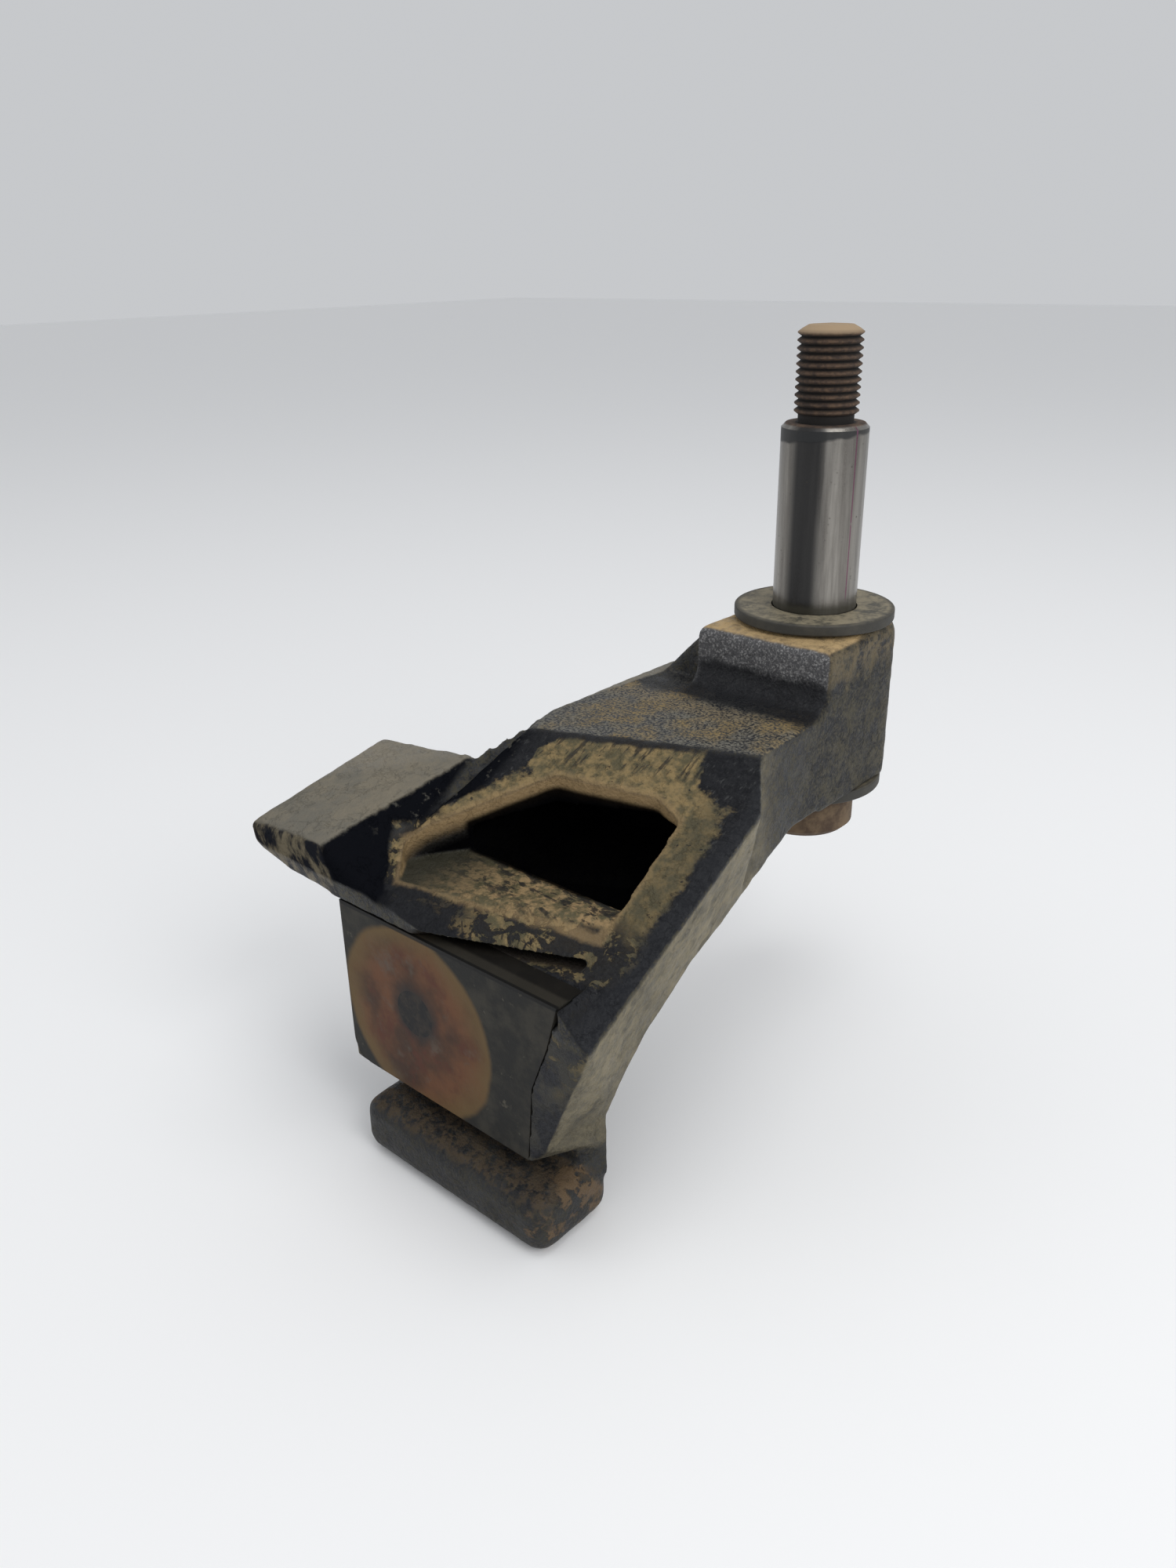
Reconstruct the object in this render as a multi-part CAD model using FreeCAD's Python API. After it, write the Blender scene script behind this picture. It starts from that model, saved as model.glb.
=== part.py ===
import FreeCAD, Part
import math
import os

os.makedirs("parts", exist_ok=True)

# Pivoting anvil arm, in millimetres.
# The pin's axis is Z. z = 0 is the top face of the upper washer.
# +X runs from the pin to the anvil face, +Y to the arm's right side.

V = FreeCAD.Vector

# --- pivot pin ---
SHANK_D = 30.0
SHANK_RISE = 64.0          # ground shank above the upper washer
SHANK_CHAMFER = 1.5
THREAD_D = 22.0            # M22 x 2.5
THREAD_PITCH = 2.5
THREAD_DEPTH = 1.45
THREAD_TURNS = 11
THREAD_FLANK = 0.42        # run of one flank, as a share of the pitch
NECK_L = 2.6               # plain neck between the shank and the thread
THREAD_TIP = 1.6           # domed end above the last crest
RELIEF_L = 3.0             # relief in the shank, inside the upper washer
RELIEF_DEPTH = 0.4
HEAD_D = 39.0
HEAD_T = 18.0
HEAD_CHAMFER = 2.0

# --- washers and bushes ---
WASHER_D = 57.6
WASHER_BORE_D = 31.0
WASHER_T = 4.0
WASHER_ROUND = 0.7
BUSH_WALL = 3.0
BUSH_L = 24.0
RUNNING_GAP = 0.06         # radial clearance between the shank and its bushes

# --- boss of the casting ---
BOSS_TOP = -WASHER_T
BOSS_BOTTOM = -64.0
BOSS_R = 29.5
BOSS_FRONT = 34.0
BOSS_HALF_W = 27.5
BOSS_ROUND = 3.5
STEP_ROUND = 9.0           # hollow corner between the boss and the platform
PAD_D = 52.0               # raised ring that the washer turns on
PAD_H = 1.0
BORE_D = 32.0              # cored bore between the two bushes

# --- arm of the casting ---
PLATFORM_Z = -27.0
FACE_X = 176.0             # plane of the anvil face
BLOCK_T = 11.0
BLOCK_LEFT = -63.0
BLOCK_TOP = -68.7
BLOCK_BOTTOM = -129.0
BLOCK_CORNER_R = 8.0
SEAM_TOP_Y = 31.0          # right end of the block's top edge
RIVET_D = 16.0
RIVET_L = 28.0
RIVET_Y = -30.0
RIVET_Z = -98.0

# --- sloping front: a plane through three points ---
FRONT_A = V(107, -44, PLATFORM_Z)
FRONT_B = V(77, 30, PLATFORM_Z)
FRONT_C = V(160.6, 19.5, -66.5)
RIDGE_Y = 42.5             # right edge of the sloping front

# --- foot below the anvil face ---
FOOT_X0 = 152.5
FOOT_X1 = 184.5
FOOT_Y0 = -52.0
FOOT_Y1 = 30.0
FOOT_TOP = -136.0
FOOT_BOTTOM = -156.0
FOOT_ROUND = 6.0
SLOT_X0 = 163.0            # back of the slot between the foot and the block
SLOT_Y1 = 25.1             # right end of the slot's back wall

# --- openings ---
WINDOW_ROUND = 3.5         # upright corners of the window
FLOOR_Z = -58.6            # level floor of the window
HOLLOW_BACK = 80.0         # back wall of the cored hollow
HOLLOW_FRONT = 137.0       # where the window's floor begins
BAR_BOTTOM = -65.7         # underside of the bar below the window
RELIEF_BACK = 150.0        # inner end of the gap under the bar


def front_z(x, y):
    """Height of the sloping front plane over a plan point."""
    normal = (FRONT_B - FRONT_A).cross(FRONT_C - FRONT_A)
    offset = normal.x * (x - FRONT_A.x) + normal.y * (y - FRONT_A.y)
    return FRONT_A.z - offset / normal.z


def prism(outline, z0, z1):
    """Upright prism over a plan outline."""
    points = [V(x, y, z0) for x, y in outline]
    points.append(points[0])
    return Part.Face(Part.makePolygon(points)).extrude(V(0, 0, z1 - z0))


def rounded_prism(outline, z0, z1, radius):
    """Upright prism with its upright edges rounded."""
    body = prism(outline, z0, z1)
    upright = [e for e in body.Edges if abs(e.Vertexes[0].Z - e.Vertexes[-1].Z) > 0.5 * (z1 - z0)]
    return body.makeFillet(radius, upright)


def box(x0, x1, y0, y1, z0, z1):
    return Part.makeBox(x1 - x0, y1 - y0, z1 - z0, V(x0, y0, z0))


def solid_from(corners, faces):
    """Closed solid from named corners; each face is a ring of names, split into triangles."""
    sheets = []
    for ring in faces:
        names = ring.split()
        for first, second in zip(names[1:-1], names[2:]):
            triangle = [corners[names[0]], corners[first], corners[second], corners[names[0]]]
            sheets.append(Part.Face(Part.makePolygon(triangle)))
    solid = Part.Solid(Part.Shell(sheets))
    if solid.Volume < 0:
        solid.reverse()
    return solid


def ring(outer_r, inner_r, z0, z1):
    tube = Part.makeCylinder(outer_r, z1 - z0, V(0, 0, z0))
    return tube.cut(Part.makeCylinder(inner_r, z1 - z0 + 2, V(0, 0, z0 - 1)))


def turned(profile):
    """Solid of revolution about Z from (radius, z) points."""
    points = [V(r, 0, z) for r, z in profile]
    points.append(points[0])
    return Part.Face(Part.makePolygon(points)).revolve(V(0, 0, 0), V(0, 0, 1), 360)


# ---------------------------------------------------------------- casting
def make_boss():
    half = BOSS_HALF_W
    block = box(0, BOSS_FRONT, -half, half, BOSS_BOTTOM, BOSS_TOP - PAD_H)
    rear = Part.makeCylinder(BOSS_R, BOSS_TOP - PAD_H - BOSS_BOTTOM, V(0, 0, BOSS_BOTTOM))
    rear = rear.common(box(-BOSS_R, 0, -half, half, BOSS_BOTTOM, BOSS_TOP))
    boss = block.fuse(rear).removeSplitter()
    rounded = [e for e in boss.Edges if min(v.Z for v in e.Vertexes) > PLATFORM_Z]
    boss = boss.makeFillet(BOSS_ROUND, rounded)
    pad = Part.makeCylinder(PAD_D / 2, PAD_H + 2, V(0, 0, BOSS_TOP - PAD_H - 2))
    return boss, pad


def make_arm():
    """Neck, sloping front, head and side walls as one faceted body."""
    c = {
        # platform
        "heel_l": V(-12, -20, PLATFORM_Z), "flank": V(18, -51, PLATFORM_Z), "neck_l": V(84, -51, PLATFORM_Z),
        "front_l": FRONT_A, "front_r": FRONT_B,
        "neck_r": V(BOSS_FRONT, BOSS_HALF_W, PLATFORM_Z), "heel_r": V(0, BOSS_HALF_W, PLATFORM_Z),
        # sloping front
        "shoulder": V(93.5, 41.5, front_z(93.5, 41.5)),
        "ridge": V(FACE_X, RIDGE_Y, front_z(FACE_X, RIDGE_Y)),
        "rib_tip": V(182, -62, -47),
        "rib_in": V(FACE_X, -53, front_z(FACE_X, -53)),
        # front plane
        "face_tl": V(FACE_X, BLOCK_LEFT, BLOCK_TOP), "face_bl": V(FACE_X, BLOCK_LEFT, BLOCK_BOTTOM),
        "face_br": V(FACE_X, 18.4, BLOCK_BOTTOM), "leg_tip": V(FACE_X, 24.5, -122),
        # underside, right edge
        "r0": V(0, BOSS_HALF_W, -63), "r1": V(52, BOSS_HALF_W, -63),
        "r2": V(87, 30, -75), "r3": V(115, 31, -85.5),
        "r4": V(135, 31, -98), "r5": V(146, 31, -108), "r6": V(153.5, 30, -119),
        "r7": V(FOOT_X0 + 1, FOOT_Y1, BLOCK_BOTTOM - 1),
        # underside, left edge
        "l0": V(-12, -20, -63), "l00": V(18, -51, -63), "l1": V(52, -52, -63), "l2": V(87, -53, -75),
        "l3": V(115, -56, -85.5), "l4": V(135, -59, -98), "l5": V(146, -61, -108),
        "l6": V(153.5, -62, -119), "l7": V(FOOT_X0 + 1, -62, BLOCK_BOTTOM),
    }
    faces = [
        "neck_r heel_r heel_l flank neck_l front_l front_r",
        "front_l ridge shoulder front_r",
        "front_l rib_in ridge",
        "neck_l rib_tip rib_in front_l",
        "rib_tip face_tl rib_in",
        "face_tl face_bl face_br leg_tip ridge rib_in",
        "heel_r neck_r r1 r0",
        "neck_r front_r r2 r1",
        "front_r shoulder r2",
        "shoulder r3 r2",
        "shoulder ridge r4 r3",
        "ridge r5 r4",
        "ridge leg_tip r6 r5",
        "leg_tip face_br r7 r6",
        "heel_l l0 l00 flank",
        "flank l00 l1 neck_l",
        "neck_l l1 l2",
        "neck_l l2 l3 rib_tip",
        "rib_tip l3 l4 face_tl",
        "face_tl l4 l5",
        "face_tl l5 l6",
        "face_tl l6 l7 face_bl",
        "heel_l heel_r r0 l0",
        "l0 r0 r1 l00",
        "l00 r1 l1",
        "l1 r1 r2 l2",
        "l2 r2 r3 l3",
        "l3 r3 r4 l4",
        "l4 r4 r5 l5",
        "l5 r5 r6 l6",
        "l6 r6 r7 l7",
        "l7 r7 face_br face_bl",
    ]
    return solid_from(c, faces)


def make_step():
    """Hollow corner where the boss's front meets the platform."""
    corner = box(BOSS_FRONT - 1, BOSS_FRONT + STEP_ROUND, -BOSS_HALF_W, BOSS_HALF_W,
                 PLATFORM_Z - 1, PLATFORM_Z + STEP_ROUND)
    start = V(BOSS_FRONT + STEP_ROUND, -BOSS_HALF_W - 1, PLATFORM_Z + STEP_ROUND)
    scoop = Part.makeCylinder(STEP_ROUND, 2 * BOSS_HALF_W + 2, start, V(0, 1, 0))
    return corner.cut(scoop)


def make_flank():
    """Ramp from the boss's left shoulder down to the platform's left edge."""
    c = {
        "top_b": V(2, -24, BOSS_TOP - PAD_H), "top_f": V(30.5, -24, BOSS_TOP - PAD_H),
        "low_b": V(6, -44, PLATFORM_Z - 4), "low_f": V(30, -50, PLATFORM_Z - 4),
        "in_b": V(2, -10, PLATFORM_Z - 4), "in_f": V(30.5, -10, PLATFORM_Z - 4),
        "up_b": V(2, -10, BOSS_TOP - PAD_H), "up_f": V(30.5, -10, BOSS_TOP - PAD_H),
    }
    faces = [
        "top_b top_f low_f low_b", "top_b low_b in_b up_b", "top_f up_f in_f low_f",
        "up_b up_f top_f top_b", "in_b low_b low_f in_f", "up_b in_b in_f up_f",
    ]
    return solid_from(c, faces)


def make_lug():
    """Flat lug on the left: its top follows the left rib, its underside curves up to the tip."""
    c = {
        "a_in": V(122, -55, -34.2), "a_out": V(126, -96, -35.5),
        "b_out": V(183.5, -99, -49), "b_in": V(182, -62, -47),
        "a_root": V(120, -45, -50), "b_root": V(172, -45, -66),
        "a_in_low": V(120, -45, -62), "a_out_low": V(126, -96, -48), "b_out_low": V(182.5, -99, -58),
        "b_mid_low": V(179, -84, -65.5), "a_mid_low": V(126, -80, -60),
        "b_in_low": V(FACE_X, BLOCK_LEFT, BLOCK_TOP),
        "b_root_low": V(FACE_X - 4, -45, -74),
    }
    faces = [
        "a_in a_out b_out b_in", "a_in a_root a_in_low a_mid_low a_out_low a_out",
        "a_out a_out_low b_out_low b_out", "b_in b_out b_out_low b_mid_low b_in_low",
        "b_in b_in_low b_root_low b_root",
        "a_out_low a_mid_low b_mid_low b_out_low", "a_mid_low a_in_low b_in_low b_mid_low",
        "a_in_low b_root_low b_in_low",
        "a_in b_in b_root a_root", "a_root b_root b_root_low a_in_low",
    ]
    return solid_from(c, faces)


def make_shoulder():
    """Raised edge of the right leg, level with the top corner of the block."""
    back = 158
    c = {
        "top_b": V(back, SEAM_TOP_Y, front_z(back, SEAM_TOP_Y)),
        "top_f": V(FACE_X, SEAM_TOP_Y, BLOCK_TOP - 0.5),
        "out_f": V(FACE_X, RIDGE_Y - 1.5, front_z(FACE_X, RIDGE_Y - 1.5)),
        "out_b": V(back, RIDGE_Y - 1.5, front_z(back, RIDGE_Y - 1.5) - 1),
        "low_f": V(FACE_X, SEAM_TOP_Y, -85), "low_b": V(back, SEAM_TOP_Y, -85),
    }
    faces = [
        "top_b top_f out_f out_b", "top_b low_b low_f top_f", "top_f low_f out_f", "top_b out_b low_b",
        "low_b out_b out_f low_f",
    ]
    return solid_from(c, faces)


def make_foot():
    """Rounded bar under the face, joined to the arm behind the slot."""
    bar = box(FOOT_X0, FOOT_X1, FOOT_Y0, FOOT_Y1, FOOT_BOTTOM, FOOT_TOP)
    bar = bar.makeFillet(FOOT_ROUND, bar.Edges)
    outline = [(FOOT_X0 + 1, FOOT_Y0), (SLOT_X0, FOOT_Y0), (SLOT_X0, SLOT_Y1), (FOOT_X0 + 1, FOOT_Y1)]
    neck = prism(outline, FOOT_TOP - FOOT_ROUND - 1, BLOCK_BOTTOM)
    return bar.fuse(neck)


def window_cut():
    """Window through the sloping front, its level floor and the hollow behind it."""
    outline = [(115, -24), (105, 10), (108, 21), (150, 24.5), (168, -42), (157, -51), (149, -48)]
    mouth = rounded_prism(outline, FLOOR_Z, PLATFORM_Z + 10, WINDOW_ROUND)
    back = HOLLOW_BACK
    front = HOLLOW_FRONT
    hollow = solid_from(
        {
            "a": V(back, -42, -38), "b": V(back, 20, -38), "c": V(front, 23, -50), "d": V(front, -47, -50),
            "e": V(back, -42, -62), "f": V(back, 20, -62), "g": V(front, 23, -84), "h": V(front, -47, -84),
        },
        ["a b c d", "e h g f", "a e f b", "b f g c", "c g h d", "d h e a"],
    )
    return mouth.fuse(hollow)


def relief_cut():
    """Wedge-shaped gap between the bar below the window and the top of the block."""
    mouth = prism([(FACE_X + 9, -30), (178, -28), (160.6, 19.5), (163, 27), (FACE_X, SEAM_TOP_Y),
                   (FACE_X + 9, SEAM_TOP_Y)],
                  BLOCK_TOP, -40)
    back = RELIEF_BACK
    slit = prism([(FACE_X, -28), (back, 4), (back, 24), (163, 26), (FACE_X, 26)], BLOCK_TOP, BAR_BOTTOM)
    return mouth.fuse(slit)


def make_block():
    """Anvil block let into the front of the head, right edge along the leg."""
    outline = [(BLOCK_LEFT, BLOCK_TOP), (SEAM_TOP_Y, BLOCK_TOP), (26.6, -84.4), (20.1, -101.4),
               (17.5, BLOCK_BOTTOM), (BLOCK_LEFT, BLOCK_BOTTOM)]
    points = [V(FACE_X - BLOCK_T, y, z) for y, z in outline]
    points.append(points[0])
    block = Part.Face(Part.makePolygon(points)).extrude(V(BLOCK_T, 0, 0))
    corner = [e for e in block.Edges
              if all(abs(v.Y - BLOCK_LEFT) < 0.1 and abs(v.Z - BLOCK_BOTTOM) < 0.1 for v in e.Vertexes)]
    return block.makeFillet(BLOCK_CORNER_R, corner)


def make_rivet():
    """Blind rivet through the block into the casting, flush with the face."""
    return Part.makeCylinder(RIVET_D / 2, RIVET_L, V(FACE_X - RIVET_L, RIVET_Y, RIVET_Z), V(1, 0, 0))


def make_casting():
    boss, pad = make_boss()
    body = boss.fuse([pad, make_step(), make_arm(), make_flank(), make_lug(), make_shoulder(), make_foot()])
    body = body.cut(window_cut()).cut(relief_cut())
    body = body.cut(make_block()).cut(make_rivet())
    bush_r = SHANK_D / 2 + RUNNING_GAP + BUSH_WALL
    body = body.cut(Part.makeCylinder(BORE_D / 2, BOSS_TOP - BOSS_BOTTOM + 2, V(0, 0, BOSS_BOTTOM - 1)))
    for z0, z1 in bush_spans():
        body = body.cut(Part.makeCylinder(bush_r, z1 - z0, V(0, 0, z0)))
    return body.removeSplitter()


# ---------------------------------------------------------------- pivot
def bush_spans():
    return [(BOSS_TOP - BUSH_L, BOSS_TOP), (BOSS_BOTTOM, BOSS_BOTTOM + BUSH_L)]


def make_bush(z0, z1):
    inner = SHANK_D / 2 + RUNNING_GAP
    return ring(inner + BUSH_WALL, inner, z0, z1)


def make_washer(top):
    washer = ring(WASHER_D / 2, WASHER_BORE_D / 2, top - WASHER_T, top)
    rims = [e for e in washer.Edges if abs(e.Length - math.pi * WASHER_D) < 0.5]
    return washer.makeFillet(WASHER_ROUND, rims)


def make_pin():
    """Headed pin with a ringed thread form, crest to crest one pitch."""
    head_top = BOSS_BOTTOM - WASHER_T
    shank_r = SHANK_D / 2
    crest = THREAD_D / 2
    root = crest - THREAD_DEPTH
    head_r = HEAD_D / 2
    head_low = head_top - HEAD_T
    relief_r = shank_r - RELIEF_DEPTH
    profile = [(0, head_low), (head_r - HEAD_CHAMFER, head_low), (head_r, head_low + HEAD_CHAMFER),
               (head_r, head_top - HEAD_CHAMFER / 2), (head_r - HEAD_CHAMFER / 2, head_top),
               (shank_r, head_top), (shank_r, -RELIEF_L), (relief_r, -RELIEF_L), (relief_r, 0),
               (shank_r, 0), (shank_r, SHANK_RISE - SHANK_CHAMFER),
               (shank_r - SHANK_CHAMFER, SHANK_RISE), (root, SHANK_RISE)]
    z = SHANK_RISE + NECK_L
    for _ in range(THREAD_TURNS):
        profile.append((root, z))
        profile.append((crest, z + THREAD_PITCH * THREAD_FLANK))
        profile.append((crest, z + THREAD_PITCH * (1 - THREAD_FLANK)))
        z += THREAD_PITCH
    profile.append((root, z))
    profile.append((root - 2.0, z + THREAD_TIP * 0.7))
    profile.append((0, z + THREAD_TIP))
    return turned(profile)


def export(shape, name):
    shape.exportStep("parts/" + name + ".step")
    print(name, "valid", shape.isValid(), "solids", len(shape.Solids), "volume", round(shape.Volume))


export(make_casting(), "arm_casting")
export(make_block().cut(make_rivet()), "anvil_block")
export(make_rivet(), "block_rivet")
export(make_pin(), "pivot_pin")
export(make_washer(0.0), "upper_washer")
export(make_washer(BOSS_BOTTOM), "lower_washer")
for bush_name, span in zip(("upper_bushing", "lower_bushing"), bush_spans()):
    export(make_bush(*span), bush_name)
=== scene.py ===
import math

import bmesh
import bpy
import numpy as np
from mathutils import Matrix, Vector


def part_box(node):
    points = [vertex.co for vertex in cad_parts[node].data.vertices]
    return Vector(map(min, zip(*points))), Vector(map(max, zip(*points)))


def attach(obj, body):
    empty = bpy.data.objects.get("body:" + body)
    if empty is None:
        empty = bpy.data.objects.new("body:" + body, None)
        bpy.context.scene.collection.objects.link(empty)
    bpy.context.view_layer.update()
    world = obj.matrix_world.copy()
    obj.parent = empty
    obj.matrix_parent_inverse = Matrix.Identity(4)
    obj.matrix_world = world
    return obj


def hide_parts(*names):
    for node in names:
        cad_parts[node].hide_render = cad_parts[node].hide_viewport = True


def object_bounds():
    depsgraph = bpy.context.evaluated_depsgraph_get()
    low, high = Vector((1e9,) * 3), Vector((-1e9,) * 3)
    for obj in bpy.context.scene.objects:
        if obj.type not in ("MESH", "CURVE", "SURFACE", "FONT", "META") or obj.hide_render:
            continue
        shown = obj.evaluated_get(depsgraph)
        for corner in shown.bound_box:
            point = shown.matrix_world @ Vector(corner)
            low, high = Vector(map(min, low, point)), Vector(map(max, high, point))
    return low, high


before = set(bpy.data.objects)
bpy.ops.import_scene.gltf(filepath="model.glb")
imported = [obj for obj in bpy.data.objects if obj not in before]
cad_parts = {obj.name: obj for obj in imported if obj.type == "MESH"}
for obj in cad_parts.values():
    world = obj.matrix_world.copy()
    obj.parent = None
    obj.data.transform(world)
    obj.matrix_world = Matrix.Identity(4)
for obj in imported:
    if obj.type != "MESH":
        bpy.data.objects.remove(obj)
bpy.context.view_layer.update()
MM = 0.001
WELD_GAP = 0.005 * MM
RELAX_FACTOR = 0.5

# ---------------------------------------------------------------- places, read from the frame
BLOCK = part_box("anvil_block")
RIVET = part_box("block_rivet")
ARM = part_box("arm_casting")

FACE_X = BLOCK[1].x
MARK_CENTRE = Vector((FACE_X, (RIVET[0].y + RIVET[1].y) / 2, (RIVET[0].z + RIVET[1].z) / 2))
MARK_R = 34.0
BLOCK_TOP = BLOCK[1].z / MM


# ---------------------------------------------------------------- noise for mesh work
def lattice_noise(points, cell, seed):
    """Smooth value noise in -1..1 at each point; cell is the size of one lump, in metres."""
    scaled = points / cell + seed * 17.31
    base = np.floor(scaled).astype(np.int64)
    part = scaled - base
    part = part * part * (3 - 2 * part)
    total = np.zeros(len(points))
    for corner in range(8):
        step = np.array([(corner >> k) & 1 for k in range(3)])
        node = base + step
        mixed = (node[:, 0] * 73856093) ^ (node[:, 1] * 19349663) ^ (node[:, 2] * 83492791)
        mixed = mixed ^ (seed * 2654435761)
        mixed = (mixed ^ (mixed >> 13)) * 1274126177
        value = ((mixed ^ (mixed >> 16)) & 0xFFFF) / 32767.5 - 1
        weight = np.prod(np.where(step == 1, part, 1 - part), axis=1)
        total += value * weight
    return total


def per_vertex(mesh, attribute):
    """The vertices' "co" or "normal", as an array of one row each."""
    flat = np.empty(len(mesh.vertices) * 3)
    mesh.vertices.foreach_get(attribute, flat)
    return flat.reshape(-1, 3)


def apply_modifiers(obj):
    """Bakes the modifier stack into the mesh."""
    depsgraph = bpy.context.evaluated_depsgraph_get()
    mesh = bpy.data.meshes.new_from_object(obj.evaluated_get(depsgraph))
    obj.modifiers.clear()
    old = obj.data
    obj.data = mesh
    bpy.data.meshes.remove(old)


def copy_of(node, name):
    """A free copy of a CAD node's mesh, with coincident vertices joined."""
    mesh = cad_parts[node].data.copy()
    mesh.materials.clear()
    obj = bpy.data.objects.new(name, mesh)
    bpy.context.scene.collection.objects.link(obj)
    work = bmesh.new()
    work.from_mesh(mesh)
    bmesh.ops.remove_doubles(work, verts=work.verts, dist=WELD_GAP)
    work.to_mesh(mesh)
    work.free()
    return obj


def remesh(obj, voxel):
    modifier = obj.modifiers.new("remesh", "REMESH")
    modifier.mode = "VOXEL"
    modifier.voxel_size = voxel
    modifier.adaptivity = 0
    apply_modifiers(obj)


def relax(obj, passes, group=""):
    """Evens out the mesh, everywhere or by the weights of a vertex group."""
    modifier = obj.modifiers.new("relax", "SMOOTH")
    modifier.factor = RELAX_FACTOR
    modifier.iterations = passes
    modifier.vertex_group = group
    apply_modifiers(obj)


def shade_smooth(obj):
    obj.data.polygons.foreach_set("use_smooth", np.ones(len(obj.data.polygons), bool))
    obj.data.update()


# ---------------------------------------------------------------- node graph helpers
class Graph:
    """Short names for building a material's node tree."""

    def __init__(self, name):
        self.material = bpy.data.materials.new(name)
        self.material.use_nodes = True
        self.tree = self.material.node_tree
        self.tree.nodes.clear()
        self.output = self.tree.nodes.new("ShaderNodeOutputMaterial")
        self.shader = self.tree.nodes.new("ShaderNodeBsdfPrincipled")
        self.link(self.shader.outputs[0], self.output.inputs["Surface"])
        coordinates = self.tree.nodes.new("ShaderNodeTexCoord")
        in_mm = self.tree.nodes.new("ShaderNodeVectorMath")
        in_mm.operation = "SCALE"
        self.link(coordinates.outputs["Object"], in_mm.inputs[0])
        in_mm.inputs["Scale"].default_value = 1000.0
        self.place = in_mm.outputs[0]
        self.normal = coordinates.outputs["Normal"]
        geometry = self.tree.nodes.new("ShaderNodeNewGeometry")
        self.pointy = geometry.outputs["Pointiness"]
        split = self.tree.nodes.new("ShaderNodeSeparateXYZ")
        self.link(self.place, split.inputs[0])
        self.x, self.y, self.z = split.outputs

    def link(self, source, target):
        self.tree.links.new(source, target)

    def feed(self, value, socket):
        if isinstance(value, (int, float)):
            socket.default_value = value
        elif isinstance(value, (tuple, list, Vector)):
            wanted = len(socket.default_value)
            socket.default_value = (list(value) + [1.0])[:wanted]
        else:
            self.link(value, socket)

    def math(self, operation, a, b=0.0):
        node = self.tree.nodes.new("ShaderNodeMath")
        node.operation = operation
        self.feed(a, node.inputs[0])
        self.feed(b, node.inputs[1])
        return node.outputs[0]

    def add(self, a, b):
        return self.math("ADD", a, b)

    def times(self, a, b):
        return self.math("MULTIPLY", a, b)

    def minus(self, a, b):
        return self.math("SUBTRACT", a, b)

    def invert(self, a):
        return self.math("SUBTRACT", 1.0, a)

    def most(self, a, b):
        return self.math("MAXIMUM", a, b)

    def step(self, value, low, high):
        """0 below low, 1 above high, smooth between."""
        node = self.tree.nodes.new("ShaderNodeMapRange")
        node.interpolation_type = "SMOOTHSTEP"
        self.feed(value, node.inputs["Value"])
        node.inputs["From Min"].default_value = low
        node.inputs["From Max"].default_value = high
        return node.outputs[0]

    def dot(self, vector, direction):
        node = self.tree.nodes.new("ShaderNodeVectorMath")
        node.operation = "DOT_PRODUCT"
        self.link(vector, node.inputs[0])
        node.inputs[1].default_value = direction
        return node.outputs["Value"]

    def beyond(self, point, direction):
        """Signed distance in millimetres past a plane through point, along a unit direction."""
        away = Vector(direction).normalized()
        return self.minus(self.dot(self.place, away), float(Vector(point).dot(away)))

    def facing(self, direction, low, high):
        """1 where the surface faces the direction, in the object's own frame."""
        return self.step(self.dot(self.normal, Vector(direction).normalized()), low, high)

    def between(self, value, low, high, soft=1.0):
        """1 from low to high, fading to 0 over soft on either side of each."""
        above = self.step(value, low - soft, low + soft)
        return self.times(above, self.invert(self.step(value, high - soft, high + soft)))

    def below(self, value, low, high):
        """1 below low, 0 above high."""
        return self.invert(self.step(value, low, high))

    def all_of(self, *masks):
        total = masks[0]
        for mask in masks[1:]:
            total = self.times(total, mask)
        return total

    def spread(self, value, amount):
        """Noise moved to -amount..amount."""
        return self.times(self.minus(value, 0.5), 2.0 * amount)

    def wavy(self, value, noise, amount):
        """The value moved by noise to either side, so that a mask's edge wanders."""
        return self.add(value, self.spread(noise, amount))

    def weighted(self, a, share_a, b, share_b):
        return self.add(self.times(a, share_a), self.times(b, share_b))

    def outline(self, points):
        """Distance outside a convex clockwise plan outline; negative inside."""
        far = None
        for (x0, y0), (x1, y1) in zip(points, points[1:] + points[:1]):
            edge = self.beyond((x0, y0, 0), (y0 - y1, x1 - x0, 0))
            far = edge if far is None else self.most(far, edge)
        return far

    def stretched(self, scale):
        node = self.tree.nodes.new("ShaderNodeMapping")
        node.inputs["Scale"].default_value = scale
        self.link(self.place, node.inputs["Vector"])
        return node.outputs[0]

    def noise(self, size, detail=4.0, rough=0.55, warp=0.0, where=None, shift=0.0):
        """Noise in 0..1; size is the size of a lump in millimetres."""
        node = self.tree.nodes.new("ShaderNodeTexNoise")
        node.noise_dimensions = "4D"
        node.inputs["W"].default_value = shift
        node.inputs["Scale"].default_value = 1.0 / size
        node.inputs["Detail"].default_value = detail
        node.inputs["Roughness"].default_value = rough
        node.inputs["Distortion"].default_value = warp
        self.link(where or self.place, node.inputs["Vector"])
        return node.outputs["Fac"]

    def cells(self, size, feature="F1", where=None, random=1.0):
        node = self.tree.nodes.new("ShaderNodeTexVoronoi")
        node.feature = feature
        node.inputs["Scale"].default_value = 1.0 / size
        node.inputs["Randomness"].default_value = random
        self.link(where or self.place, node.inputs["Vector"])
        return node.outputs["Distance"]

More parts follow.
